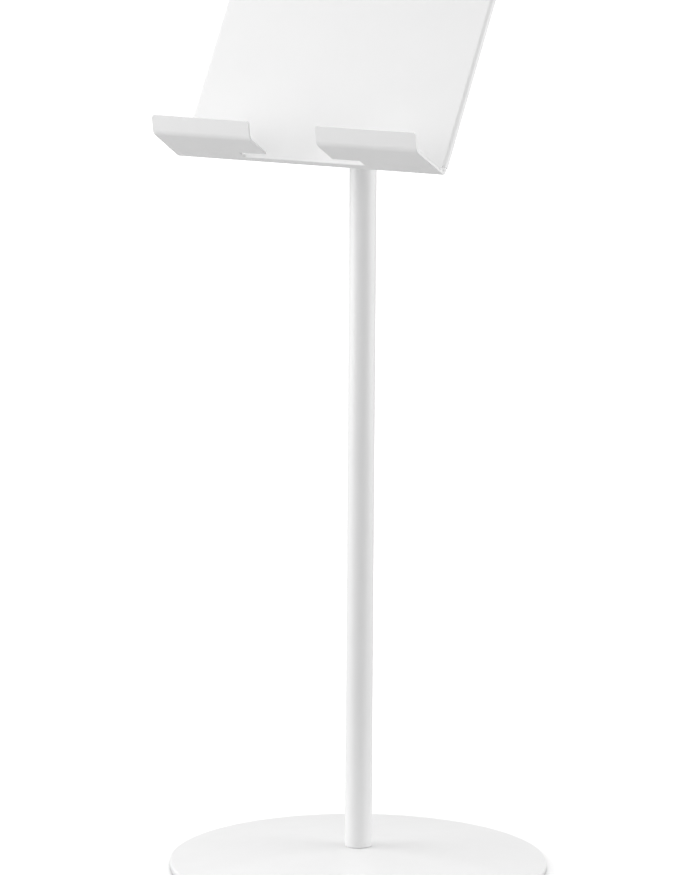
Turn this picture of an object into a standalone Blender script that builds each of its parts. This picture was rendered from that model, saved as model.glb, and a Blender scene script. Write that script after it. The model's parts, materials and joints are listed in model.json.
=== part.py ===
"""Music stand: a folded sheet desk on a friction tilt hinge, a round post and a weighted disc base.

Metres, +Z up. The origin is on the floor under the post's axis, and the desk faces -Y.
"""
import math

import bmesh
import bpy
from mathutils import Matrix, Vector

# Base
BASE_RADIUS = 0.195          # outside of the cover's rim
RIM_HEIGHT = 0.006           # upright wall of the cover's rim
RIM_CORNER = 0.002           # round between the rim wall and the dome
DOME_RISE = 0.015            # from the top of the rim to the middle of the dome
COVER_WALL = 0.0015
FLOOR_CLEARANCE = 0.002      # under the rim
LAND_RADIUS = 0.018          # flat seat of the post in the middle of the dome
BALLAST_INSET = 0.007        # between the ballast's edge and the inside of the rim
BALLAST_AIR = 0.001          # between the ballast and the dome away from the hub
HUB_RADIUS = 0.022
BOTTOM_PLATE_THICKNESS = 0.0015
BOTTOM_PLATE_RECESS = 0.0006  # above the rim's lower edge
PAD_RADIUS = 0.012
PAD_CIRCLE = 0.165
PAD_COUNT = 4
PLATE_SCREW_RADIUS = 0.002
PLATE_SCREW_LENGTH = 0.006
PLATE_SCREW_HEAD_RADIUS = 0.004
PLATE_SCREW_HEAD_HEIGHT = 0.0016
PLATE_SCREW_CIRCLE = 0.140
PLATE_SCREW_COUNT = 4
PAD_CHAMFER = 0.0004
BOLT_WELL_PLAY = 0.003       # between the post washer and the well around it

# Post and what holds it down
POST_RADIUS = 0.014
POST_WALL = 0.002
POST_LENGTH = 0.806
PLUG_LENGTH = 0.025
SPIGOT_RADIUS = 0.009        # locates the cover's hole
POST_BOLT_RADIUS = 0.005
POST_BOLT_FLATS = 0.017
POST_BOLT_HEAD = 0.0064
POST_BOLT_GRIP = 0.014       # length of thread in the plug
BOLT_POINT = 0.15            # chamfer at a bolt's end, as a part of its radius
WASHER_RADIUS = 0.010
WASHER_THICKNESS = 0.002
LOCK_WASHER_RADIUS = 0.0085
LOCK_WASHER_THICKNESS = 0.0022

# Head, which turns in the top of the post
SPINDLE_RADIUS = 0.008
SPINDLE_LENGTH = 0.072
COLLAR_RADIUS = 0.0135
COLLAR_HEIGHT = 0.006
BUSH_FLANGE = 0.002
UPPER_BUSH_LENGTH = 0.024
LOWER_BUSH_LENGTH = 0.016
GRUB_RADIUS = 0.0025
GRUB_DROP = 0.012            # below the top of the post
GRUB_POINT = 0.0005
GRUB_SOCKET_DEPTH = 0.0025
LOWER_BUSH_SETBACK = 0.003   # from the spindle's lower end
SPINDLE_CHAMFER = 0.001
GROOVE_DEPTH = 0.0015
TONGUE_THICKNESS = 0.012
TONGUE_RADIUS = 0.012
PIVOT_RISE = 0.022           # from the collar's top to the tilt axis

# Tilt hinge
TILT_BOLT_RADIUS = 0.004
TILT_BOLT_FLATS = 0.013
TILT_BOLT_HEAD = 0.0053
TILT_NUT_HEIGHT = 0.008
FRICTION_WASHER = 0.0015
FRICTION_RADIUS = 0.0115
PLAIN_WASHER = 0.0016
PLAIN_WASHER_RADIUS = 0.008
DISC_SPRING = 0.0008
DISC_SPRING_RADIUS = 0.0078
DISC_SPRING_CONE = 0.0005    # height of each spring's cone
DISC_SPRING_COUNT = 2
BRACKET_THICKNESS = 0.003
BRACKET_INSIDE_BEND = 0.002
BRACKET_FLANGE_WIDTH = 0.028  # from the ear's outer face
BRACKET_HALF_LENGTH = 0.030
EAR_HALF_LENGTH = 0.021
EAR_RADIUS = 0.013
EAR_TAPER = math.radians(66)  # where the ear's round end meets its sloping sides
EAR_FACETS = 12
BRACKET_CORNER = 0.0045
STUD_RADIUS = 0.0025
STUD_LENGTH = 0.011
STUD_SPACING = 0.040         # along the plate
STUD_EDGE = 0.0105           # from the flange's outer edge
STUD_POINT = 0.0005
STUD_NUT_FLATS = 0.008
STUD_NUT_HEIGHT = 0.004
STUD_WASHER = 0.001
STUD_WASHER_RADIUS = 0.005
PAST_NUT = 0.002             # what the tilt bolt shows past its nut

# Desk, all outside sizes
DESK_LEAN = math.radians(31)      # of the plate, back from upright
DESK_THICKNESS = 0.0025
PLATE_LENGTH = 0.340              # along the slope, from the fold's outer corner
PLATE_WIDTH = 0.304
LEDGE_WIDTH = 0.306               # at the fold
LIP_WIDTH = 0.302                 # over both lips
LEDGE_DEPTH = 0.0605              # fold's outer corner to the lip's outer corner
LIP_HEIGHT = 0.019
FOLD_BEND = math.radians(87.5)    # between the plate and the ledge
LIP_BEND = math.radians(52.5)
FOLD_INSIDE_BEND = 0.002
LIP_INSIDE_BEND = 0.0065
SIDE_FLANGE = 0.006               # depth of the plate's turned-back sides
SIDE_INSIDE_BEND = 0.0015
SIDE_FLANGE_START = 0.009         # above the fold's outer corner
SIDE_RELIEF = 0.001               # height of the notch under each side flange
GAP_WIDTH = 0.076                 # between the two lips
SLIT_LENGTH = 0.139
SLIT_WIDTH = 0.0115
SLIT_SETBACK = 0.013              # from the fold's outer corner
LIP_CORNER = 0.003
CUT_CORNER = 0.0015
PLATE_CORNER = 0.004
PIVOT_ABOVE_LEDGE = 0.158         # along the plate, from the fold's outer corner
PIVOT_OFFSET = 0.028              # behind the plate's back face

TOUCH = 0.0003                    # gap left between meshes that touch
HOLE_PLAY = 0.0003                # between a bolt and the hole it passes through
ROUND = 36                        # sides of a large round piece
RIM_ROUND = 72                    # sides of the base
SMALL_ROUND = 18                  # sides of a fastener
STUD_ROUND = 16                   # sides of a stud or a small screw

# Heights worked out from the sizes above
RIM_TOP = FLOOR_CLEARANCE + RIM_HEIGHT
PLATE_UNDERSIDE = FLOOR_CLEARANCE + BOTTOM_PLATE_RECESS
BALLAST_UNDERSIDE = PLATE_UNDERSIDE + BOTTOM_PLATE_THICKNESS + TOUCH


def dome_height(radius):
    """Top of the base cover at a distance from the post's axis."""
    return RIM_TOP + DOME_RISE * (1 - (radius / BASE_RADIUS) ** 2)


LAND_TOP = dome_height(LAND_RADIUS)
POST_FOOT = LAND_TOP + TOUCH
POST_TOP = POST_FOOT + POST_LENGTH
COLLAR_UNDERSIDE = POST_TOP + TOUCH + BUSH_FLANGE + TOUCH
COLLAR_TOP = COLLAR_UNDERSIDE + COLLAR_HEIGHT
PIVOT_HEIGHT = COLLAR_TOP + PIVOT_RISE
BORE_RADIUS = POST_RADIUS - POST_WALL
HUB_TOP = LAND_TOP - COVER_WALL - TOUCH
EAR_INSIDE = TONGUE_THICKNESS / 2 + TOUCH + FRICTION_WASHER + TOUCH
EAR_OUTSIDE = EAR_INSIDE + BRACKET_THICKNESS


# ---------------------------------------------------------------- making meshes

def clear_scene():
    for item in list(bpy.data.objects):
        bpy.data.objects.remove(item, do_unlink=True)


def make_material(name, colour, roughness, metallic=0.0):
    material = bpy.data.materials.new(name)
    material.use_nodes = True
    shader = material.node_tree.nodes["Principled BSDF"]
    shader.inputs["Base Color"].default_value = (*colour, 1)
    shader.inputs["Roughness"].default_value = roughness
    shader.inputs["Metallic"].default_value = metallic
    return material


def add_piece(name, bm, material, place=(0, 0, 0), turn=(0, 0, 0), parent=None):
    """Turn a bmesh into a named object, shaded smooth but for its corners."""
    mesh = bpy.data.meshes.new(name)
    bm.to_mesh(mesh)
    bm.free()
    mesh.shade_smooth()
    mesh.set_sharp_from_angle(angle=math.radians(35))
    mesh.materials.append(material)
    piece = bpy.data.objects.new(name, mesh)
    piece.location = place
    piece.rotation_euler = turn
    piece.parent = parent
    bpy.context.scene.collection.objects.link(piece)
    return piece


def add_empty(name, place, turn=(0, 0, 0), parent=None):
    empty = bpy.data.objects.new(name, None)
    empty.location = place
    empty.rotation_euler = turn
    empty.parent = parent
    bpy.context.scene.collection.objects.link(empty)
    return empty


def turned(profile, steps=SMALL_ROUND):
    """Spin a closed outline of (radius, height) points about Z.

    An outline that starts and ends on the axis gives a solid, any other a ring."""
    bm = bmesh.new()
    points = [bm.verts.new((radius, 0, height)) for radius, height in profile]
    on_axis = profile[0][0] == 0 and profile[-1][0] == 0
    pairs = list(zip(points, points[1:]))
    if not on_axis:
        pairs.append((points[-1], points[0]))
    edges = [bm.edges.new(pair) for pair in pairs]
    bmesh.ops.spin(bm, geom=points + edges, cent=(0, 0, 0), axis=(0, 0, 1),
                   angle=math.tau, steps=steps, use_merge=True)
    bmesh.ops.remove_doubles(bm, verts=bm.verts[:], dist=1e-6)
    bmesh.ops.recalc_face_normals(bm, faces=bm.faces[:])
    return bm


def ring(inner, outer, low, high, steps=SMALL_ROUND):
    return turned([(inner, low), (outer, low), (outer, high), (inner, high)], steps)


def forge_hexagon(bm, flats, low, high):
    """Push a turned head's round side, of radius flats / 2, out to a hexagon."""
    for vert in bm.verts:
        radius = math.hypot(vert.co.x, vert.co.y)
        if low - 1e-6 < vert.co.z < high + 1e-6 and radius > 0.49 * flats:
            angle = math.atan2(vert.co.y, vert.co.x) % math.radians(60)
            stretch = 1 / math.cos(angle - math.radians(30))
            vert.co.x *= stretch
            vert.co.y *= stretch
    return bm


def hex_bolt(radius, length, flats, head):
    """Shank up +Z from the head's bearing face, which lies at height 0."""
    edge = radius * BOLT_POINT
    outline = [(0, -head), (flats / 2, -head), (flats / 2, 0), (radius, 0),
               (radius, length - edge), (radius - edge, length), (0, length)]
    return forge_hexagon(turned(outline), flats, -head, 0)


def hex_nut(radius, flats, height):
    return forge_hexagon(ring(radius, flats / 2, 0, height), flats, 0, height)


def add_copies(names, bm, material, places, turn=(0, 0, 0), parent=None):
    """One object for each name and place, all sharing one mesh."""
    first = add_piece(names[0], bm, material, places[0], turn, parent)
    for name, place in zip(names[1:], places[1:]):
        piece = first.copy()
        piece.name = name
        piece.location = place
        bpy.context.scene.collection.objects.link(piece)


def numbered(name, count):
    return [f"{name}_{index + 1}" for index in range(count)]


def on_circle(radius, count, height, first):
    angles = [first + math.tau * index / count for index in range(count)]
    return [(radius * math.cos(angle), radius * math.sin(angle), height) for angle in angles]


def as_cutter(tool):
    tool.hide_render = True
    tool.display_type = "WIRE"
    return tool


def drill(piece, name, radius, length, place, turn=(0, 0, 0), steps=SMALL_ROUND):
    """Cut a round hole whose middle lies at place, given in the piece's own axes."""
    bm = bmesh.new()
    half_step = Matrix.Rotation(math.pi / steps, 4, "Z")
    bmesh.ops.create_cone(bm, cap_ends=True, segments=steps, radius1=radius, radius2=radius,
                          depth=length, matrix=half_step)
    tool = as_cutter(add_piece(name, bm, piece.data.materials[0], place, turn, piece))
    modifier = piece.modifiers.new(name, "BOOLEAN")
    modifier.operation = "DIFFERENCE"
    modifier.solver = "EXACT"
    modifier.object = tool


def rounded(corners, facets=4):
    """Outline through (x, z, radius) corners, each with a radius turned into an arc."""
    outline = []
    for index, (x, z, radius) in enumerate(corners):
        here = Vector((x, z))
        if radius == 0:
            outline.append(here)
            continue
        back = (Vector(corners[index - 1][:2]) - here).normalized()
        ahead = (Vector(corners[(index + 1) % len(corners)][:2]) - here).normalized()
        half = back.angle(ahead) / 2
        reach = radius / math.tan(half)
        centre = here + (back + ahead).normalized() * radius / math.sin(half)
        first = here + back * reach - centre
        last = here + ahead * reach - centre
        sweep = first.angle_signed(last)
        for step in range(facets + 1):
            outline.append(centre + Matrix.Rotation(-sweep * step / facets, 2) @ first)
    return outline


def sheet_blank(corners, middle, thickness, creases):
    """Flat sheet in the XZ plane about y = middle, with a line of edges at every crease.

    A crease is (point, direction across the crease, lowest z that it reaches)."""
    bm = bmesh.new()
    bm.faces.new([bm.verts.new((point.x, middle, point.y)) for point in rounded(corners)])
    for point, across, floor in creases:
        faces = [face for face in bm.faces if face.calc_center_median().z > floor]
        edges = {edge for face in faces for edge in face.edges}
        verts = {vert for face in faces for vert in face.verts}
        bmesh.ops.bisect_plane(bm, geom=faces + list(edges) + list(verts),
                               plane_co=point, plane_no=across)
    sheet = bmesh.ops.extrude_face_region(bm, geom=bm.faces[:])
    new_verts = [item for item in sheet["geom"] if isinstance(item, bmesh.types.BMVert)]
    bmesh.ops.translate(bm, verts=new_verts, vec=(0, thickness, 0))
    bmesh.ops.translate(bm, verts=bm.verts[:], vec=(0, -thickness / 2, 0))
    bmesh.ops.recalc_face_normals(bm, faces=bm.faces[:])
    return bm


def press_fold(bm, start, along, toward, radius, angle, floor=-math.inf):
    """Fold what lies past start, measured along one axis, towards another.

    radius is that of the sheet's middle, and start is a point on its middle."""
    arc = radius * angle
    for vert in bm.verts:
        reach = (vert.co - start).dot(along)
        if reach <= 1e-7 or vert.co.z < floor:
            continue
        off = (vert.co - start).dot(toward)
        turn = min(reach, arc) / radius
        rest = max(reach - arc, 0)
        new_reach = (radius - off) * math.sin(turn) + rest * math.cos(turn)
        new_off = radius - (radius - off) * math.cos(turn) + rest * math.sin(turn)
        vert.co += along * (new_reach - reach) + toward * (new_off - off)


def bend_lines(start, along, arc, facets, floor=-math.inf):
    return [(start + along * arc * step / facets, along, floor) for step in range(facets + 1)]


# ---------------------------------------------------------------- the base

def build_base(white, iron, zinc, rubber):
    corner_middle = BASE_RADIUS - RIM_CORNER
    corner_low = dome_height(corner_middle) - RIM_CORNER
    dome_radii = [LAND_RADIUS + (corner_middle - LAND_RADIUS) * step / 5 for step in range(6)]
    corner = [(corner_middle + RIM_CORNER * math.cos(angle), corner_low + RIM_CORNER * math.sin(angle))
              for angle in (math.radians(60), math.radians(30), 0)]
    outside = [(radius, dome_height(radius)) for radius in dome_radii] + corner
    hole = SPIGOT_RADIUS + HOLE_PLAY
    inside_edge = BASE_RADIUS - 2 * COVER_WALL
    inside_radii = [inside_edge + (LAND_RADIUS - inside_edge) * step / 3 for step in range(4)]
    inside = [(radius, dome_height(radius) - COVER_WALL) for radius in inside_radii]
    rim_inside = BASE_RADIUS - COVER_WALL
    profile = ([(hole, LAND_TOP)] + outside
               + [(BASE_RADIUS, FLOOR_CLEARANCE), (rim_inside, FLOOR_CLEARANCE),
                  (rim_inside, inside[0][1] - COVER_WALL)]
               + inside + [(hole, LAND_TOP - COVER_WALL)])
    add_piece("base_cover", turned(profile, RIM_ROUND), white)

    # Cast weight: flat below, domed above, with a hub under the post and a well for the bolt's head
    edge = rim_inside - BALLAST_INSET
    well = WASHER_RADIUS + BOLT_WELL_PLAY
    washers = LOCK_WASHER_THICKNESS + WASHER_THICKNESS + 3 * TOUCH
    well_top = BALLAST_UNDERSIDE + POST_BOLT_HEAD + washers
    bolt_hole = POST_BOLT_RADIUS + HOLE_PLAY
    under_dome = COVER_WALL + BALLAST_AIR
    crown_radii = [edge + (HUB_RADIUS - edge) * step / 3 for step in range(4)]
    crown = [(radius, dome_height(radius) - under_dome) for radius in crown_radii]
    hub_edge = dome_height(HUB_RADIUS) - COVER_WALL - TOUCH
    weight = ([(bolt_hole, well_top), (well, well_top), (well, BALLAST_UNDERSIDE),
               (edge, BALLAST_UNDERSIDE)]
              + crown + [(HUB_RADIUS, hub_edge), (LAND_RADIUS, HUB_TOP), (bolt_hole, HUB_TOP)])
    ballast = add_piece("ballast_weight", turned(weight, RIM_ROUND), iron)
    plate_edge = rim_inside - TOUCH
    plate_top = PLATE_UNDERSIDE + BOTTOM_PLATE_THICKNESS
    plate = ring(well, plate_edge, PLATE_UNDERSIDE, plate_top, RIM_ROUND)
    bottom_plate = add_piece("bottom_plate", plate, zinc)

    head_top = PLATE_UNDERSIDE - TOUCH
    screw_top = head_top + PLATE_SCREW_LENGTH
    head_low = head_top - PLATE_SCREW_HEAD_HEIGHT
    head_shoulder = head_top - 0.4 * PLATE_SCREW_HEAD_HEIGHT
    screw = [(0, head_low), (0.7 * PLATE_SCREW_HEAD_RADIUS, head_low),
             (PLATE_SCREW_HEAD_RADIUS, head_shoulder), (PLATE_SCREW_HEAD_RADIUS, head_top),
             (PLATE_SCREW_RADIUS, head_top), (PLATE_SCREW_RADIUS, screw_top), (0, screw_top)]
    screw_places = on_circle(PLATE_SCREW_CIRCLE, PLATE_SCREW_COUNT, 0, 0)
    add_copies(numbered("bottom_plate_screw", PLATE_SCREW_COUNT), turned(screw, STUD_ROUND), zinc,
               screw_places)
    for index, (x, y, _) in enumerate(screw_places):
        hole_radius = PLATE_SCREW_RADIUS + HOLE_PLAY
        middle = (head_top + screw_top) / 2
        depth = PLATE_SCREW_LENGTH + 2 * TOUCH
        drill(bottom_plate, f"plate_hole_{index + 1}", hole_radius, 4 * BOTTOM_PLATE_THICKNESS,
              (x, y, PLATE_UNDERSIDE), steps=STUD_ROUND)
        drill(ballast, f"ballast_hole_{index + 1}", hole_radius, depth, (x, y, middle), steps=STUD_ROUND)

    pad_top = PLATE_UNDERSIDE - TOUCH
    pad = [(0, 0), (PAD_RADIUS - PAD_CHAMFER, 0), (PAD_RADIUS, PAD_CHAMFER), (PAD_RADIUS, pad_top),
           (0, pad_top)]
    pad_places = on_circle(PAD_CIRCLE, PAD_COUNT, 0, math.pi / PAD_COUNT)
    add_copies(numbered("floor_pad", PAD_COUNT), turned(pad), rubber, pad_places)

    # Bolt, washers and the plug that they pull the post down by
    under_well = well_top - TOUCH
    washer_low = under_well - WASHER_THICKNESS
    add_piece("post_washer", ring(bolt_hole, WASHER_RADIUS, washer_low, under_well), zinc)
    lock_top = washer_low - TOUCH
    lock_low = lock_top - LOCK_WASHER_THICKNESS
    add_piece("post_lock_washer", ring(bolt_hole, LOCK_WASHER_RADIUS, lock_low, lock_top), zinc)
    bearing = lock_low - TOUCH
    spigot_end = LAND_TOP - COVER_WALL
    bolt_length = POST_FOOT + POST_BOLT_GRIP - bearing
    bolt = hex_bolt(POST_BOLT_RADIUS, bolt_length, POST_BOLT_FLATS, POST_BOLT_HEAD)
    add_piece("post_bolt", bolt, zinc, (0, 0, bearing))
    plug_radius = BORE_RADIUS - TOUCH
    plug = [(bolt_hole, spigot_end), (SPIGOT_RADIUS, spigot_end), (SPIGOT_RADIUS, POST_FOOT),
            (plug_radius, POST_FOOT), (plug_radius, POST_FOOT + PLUG_LENGTH),
            (bolt_hole, POST_FOOT + PLUG_LENGTH)]
    add_piece("post_foot_plug", turned(plug, ROUND), zinc)


# ---------------------------------------------------------------- the post and the swivel

def build_post(white, nylon, zinc):
    tube = add_piece("post_tube", ring(BORE_RADIUS, POST_RADIUS, POST_FOOT, POST_TOP, ROUND), white)
    sleeve = BORE_RADIUS - TOUCH
    running = SPINDLE_RADIUS + HOLE_PLAY
    flange_low = POST_TOP + TOUCH
    upper_low = POST_TOP - UPPER_BUSH_LENGTH
    upper = turned([(running, upper_low), (sleeve, upper_low), (sleeve, flange_low),
                    (POST_RADIUS, flange_low), (POST_RADIUS, flange_low + BUSH_FLANGE),
                    (running, flange_low + BUSH_FLANGE)], ROUND)
    upper_bush = add_piece("upper_bush", upper, nylon)
    spindle_end = COLLAR_UNDERSIDE - SPINDLE_LENGTH
    lower_low = spindle_end + LOWER_BUSH_SETBACK
    lower = ring(running, sleeve, lower_low, lower_low + LOWER_BUSH_LENGTH, ROUND)
    add_piece("lower_bush", lower, nylon)

    # The grub screw goes through the back of the post and the upper bush into the spindle's groove
    grub_height = POST_TOP - GRUB_DROP
    groove_radius = SPINDLE_RADIUS - GROOVE_DEPTH
    grub_start = groove_radius + TOUCH
    grub_end = POST_RADIUS - 2 * TOUCH
    socket = 0.5 * GRUB_RADIUS
    socket_floor = grub_end - GRUB_SOCKET_DEPTH
    grub = turned([(0, grub_start), (GRUB_RADIUS - GRUB_POINT, grub_start),
                   (GRUB_RADIUS, grub_start + GRUB_POINT), (GRUB_RADIUS, grub_end), (socket, grub_end),
                   (socket, socket_floor), (0, socket_floor)])
    backward = (-math.pi / 2, 0, 0)
    add_piece("swivel_grub_screw", grub, zinc, (0, 0, grub_height), backward)
    grub_hole = GRUB_RADIUS + HOLE_PLAY
    for piece, name in ((tube, "post_grub_hole"), (upper_bush, "bush_grub_hole")):
        drill(piece, name, grub_hole, 2 * POST_RADIUS, (0, POST_RADIUS, grub_height), backward)

    # Spindle, collar and tongue are turned and milled from one bar
    groove_low = grub_height - grub_hole
    groove_high = grub_height + grub_hole
    profile = [(0, spindle_end), (SPINDLE_RADIUS - SPINDLE_CHAMFER, spindle_end),
               (SPINDLE_RADIUS, spindle_end + SPINDLE_CHAMFER), (SPINDLE_RADIUS, groove_low),
               (groove_radius, groove_low), (groove_radius, groove_high), (SPINDLE_RADIUS, groove_high),
               (SPINDLE_RADIUS, COLLAR_UNDERSIDE), (COLLAR_RADIUS, COLLAR_UNDERSIDE),
               (COLLAR_RADIUS, COLLAR_TOP - SPINDLE_CHAMFER), (COLLAR_RADIUS - SPINDLE_CHAMFER, COLLAR_TOP),
               (0, COLLAR_TOP)]
    swivel = add_empty("swivel_axis", (0, 0, COLLAR_UNDERSIDE))
    bm = turned(profile, ROUND)
    bmesh.ops.translate(bm, verts=bm.verts[:], vec=(0, 0, -COLLAR_UNDERSIDE))
    spindle = add_piece("head_spindle", bm, zinc, parent=swivel)
    root = COLLAR_HEIGHT / 2
    pivot = PIVOT_HEIGHT - COLLAR_UNDERSIDE
    tongue_round = 0.999 * TONGUE_RADIUS
    blank = sheet_blank([(-TONGUE_RADIUS, root, 0), (TONGUE_RADIUS, root, 0),
                         (TONGUE_RADIUS, pivot + TONGUE_RADIUS, tongue_round),
                         (-TONGUE_RADIUS, pivot + TONGUE_RADIUS, tongue_round)], 0, TONGUE_THICKNESS, [])
    tongue = as_cutter(add_piece("tongue_core", blank, zinc, turn=(0, 0, math.pi / 2), parent=spindle))
    join = spindle.modifiers.new("tongue", "BOOLEAN")
    join.operation = "UNION"
    join.solver = "EXACT"
    join.object = tongue
    drill(spindle, "tongue_hole", TILT_BOLT_RADIUS + HOLE_PLAY, 2 * TONGUE_THICKNESS, (0, 0, pivot),
          (0, math.pi / 2, 0))


# ---------------------------------------------------------------- the tilt hinge

def build_bracket(side, white, parent):
    """Angle bracket: a flange on the plate's back and an ear at the pivot. side is 1 or -1."""
    outside_bend = BRACKET_INSIDE_BEND + BRACKET_THICKNESS
    middle_bend = BRACKET_INSIDE_BEND + BRACKET_THICKNESS / 2
    arc = middle_bend * math.pi / 2
    flange_back = -PIVOT_OFFSET + TOUCH
    middle = flange_back + BRACKET_THICKNESS / 2
    outer = EAR_OUTSIDE + BRACKET_FLANGE_WIDTH
    bend = EAR_INSIDE + outside_bend
    ear_start = bend - arc
    pivot = ear_start + flange_back + outside_bend
    shoulder = bend + BRACKET_THICKNESS
    corners = [(outer, -BRACKET_HALF_LENGTH, BRACKET_CORNER), (outer, BRACKET_HALF_LENGTH, BRACKET_CORNER),
               (shoulder, BRACKET_HALF_LENGTH, 0), (bend, EAR_HALF_LENGTH, 0),
               (ear_start, EAR_HALF_LENGTH, 0)]
    for step in range(EAR_FACETS + 1):
        angle = EAR_TAPER + 2 * (math.pi - EAR_TAPER) * step / EAR_FACETS
        corners.append((pivot + EAR_RADIUS * math.cos(angle), EAR_RADIUS * math.sin(angle), 0))
    corners += [(ear_start, -EAR_HALF_LENGTH, 0), (bend, -EAR_HALF_LENGTH, 0),
                (shoulder, -BRACKET_HALF_LENGTH, 0)]
    inward = Vector((-1, 0, 0))
    start = Vector((bend, middle, 0))
    bm = sheet_blank(corners, middle, BRACKET_THICKNESS, bend_lines(start, inward, arc, 5))
    press_fold(bm, start, inward, Vector((0, 1, 0)), middle_bend, math.pi / 2)
    if side < 0:
        bmesh.ops.scale(bm, vec=(-1, 1, 1), verts=bm.verts[:])
        bmesh.ops.reverse_faces(bm, faces=bm.faces[:])
    name = "hinge_bracket_right" if side > 0 else "hinge_bracket_left"
    bracket = add_piece(name, bm, white, parent=parent)
    drill(bracket, f"{name}_pivot_hole", TILT_BOLT_RADIUS + HOLE_PLAY, 2 * BRACKET_THICKNESS,
          (side * (EAR_INSIDE + EAR_OUTSIDE) / 2, 0, 0), (0, math.pi / 2, 0))
    for up in (-1, 1):
        drill(bracket, f"{name}_stud_hole_{'upper' if up > 0 else 'lower'}", STUD_RADIUS + HOLE_PLAY,
              3 * BRACKET_THICKNESS, (side * (outer - STUD_EDGE), middle, up * STUD_SPACING / 2),
              (math.pi / 2, 0, 0), STUD_ROUND)


def build_hinge(white, zinc, nylon, parent):
    for side in (1, -1):
        build_bracket(side, white, parent)

    # The tilt bolt's axis is X, with its head at +X
    to_left = (0, -math.pi / 2, 0)
    hole = TILT_BOLT_RADIUS + HOLE_PLAY
    inner = TONGUE_THICKNESS / 2 + TOUCH
    friction = ring(hole, FRICTION_RADIUS, 0, FRICTION_WASHER)
    add_copies(["friction_washer_left", "friction_washer_right"], friction, nylon,
               [(-inner, 0, 0), (inner + FRICTION_WASHER, 0, 0)], to_left, parent)
    seat = EAR_OUTSIDE + TOUCH
    washer = ring(hole, PLAIN_WASHER_RADIUS, 0, PLAIN_WASHER)
    add_copies(["tilt_washer_left", "tilt_washer_right"], washer, zinc,
               [(-seat, 0, 0), (seat + PLAIN_WASHER, 0, 0)], to_left, parent)
    stack = seat + PLAIN_WASHER + TOUCH
    cone = turned([(hole, 0), (DISC_SPRING_RADIUS, DISC_SPRING_CONE),
                   (DISC_SPRING_RADIUS, DISC_SPRING_CONE + DISC_SPRING), (hole, DISC_SPRING)])
    pitch = DISC_SPRING + TOUCH
    spring_places = [(-stack - pitch * index, 0, 0) for index in range(DISC_SPRING_COUNT)]
    add_copies(numbered("tilt_disc_spring", DISC_SPRING_COUNT), cone, zinc, spring_places, to_left, parent)
    nut_low = stack + pitch * DISC_SPRING_COUNT + DISC_SPRING_CONE
    add_piece("tilt_nut", hex_nut(hole, TILT_BOLT_FLATS, TILT_NUT_HEIGHT), zinc, (-nut_low, 0, 0), to_left,
              parent)
    bolt_length = stack + nut_low + TILT_NUT_HEIGHT + PAST_NUT
    bolt = hex_bolt(TILT_BOLT_RADIUS, bolt_length, TILT_BOLT_FLATS, TILT_BOLT_HEAD)
    add_piece("tilt_bolt", bolt, zinc, (stack, 0, 0), to_left, parent)

    # Weld studs on the plate's back, with a washer and a nut each
    stud_x = EAR_OUTSIDE + BRACKET_FLANGE_WIDTH - STUD_EDGE
    backward = (-math.pi / 2, 0, 0)
    corners = [(x, z) for x in (-stud_x, stud_x) for z in (-STUD_SPACING / 2, STUD_SPACING / 2)]
    plate_back = -PIVOT_OFFSET

    def add_on_studs(name, bm, behind):
        places = [(x, plate_back + behind, z) for x, z in corners]
        add_copies(numbered(name, len(corners)), bm, zinc, places, backward, parent)

    stud = turned([(0, 0), (STUD_RADIUS, 0), (STUD_RADIUS, STUD_LENGTH - STUD_POINT),
                   (STUD_RADIUS - STUD_POINT, STUD_LENGTH), (0, STUD_LENGTH)], STUD_ROUND)
    stud_hole = STUD_RADIUS + HOLE_PLAY
    washer_low = TOUCH + BRACKET_THICKNESS + TOUCH
    add_on_studs("desk_stud", stud, TOUCH)
    add_on_studs("stud_washer", ring(stud_hole, STUD_WASHER_RADIUS, 0, STUD_WASHER), washer_low)
    nut = hex_nut(stud_hole, STUD_NUT_FLATS, STUD_NUT_HEIGHT)
    add_on_studs("stud_nut", nut, washer_low + STUD_WASHER + TOUCH)


# ---------------------------------------------------------------- the desk

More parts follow.
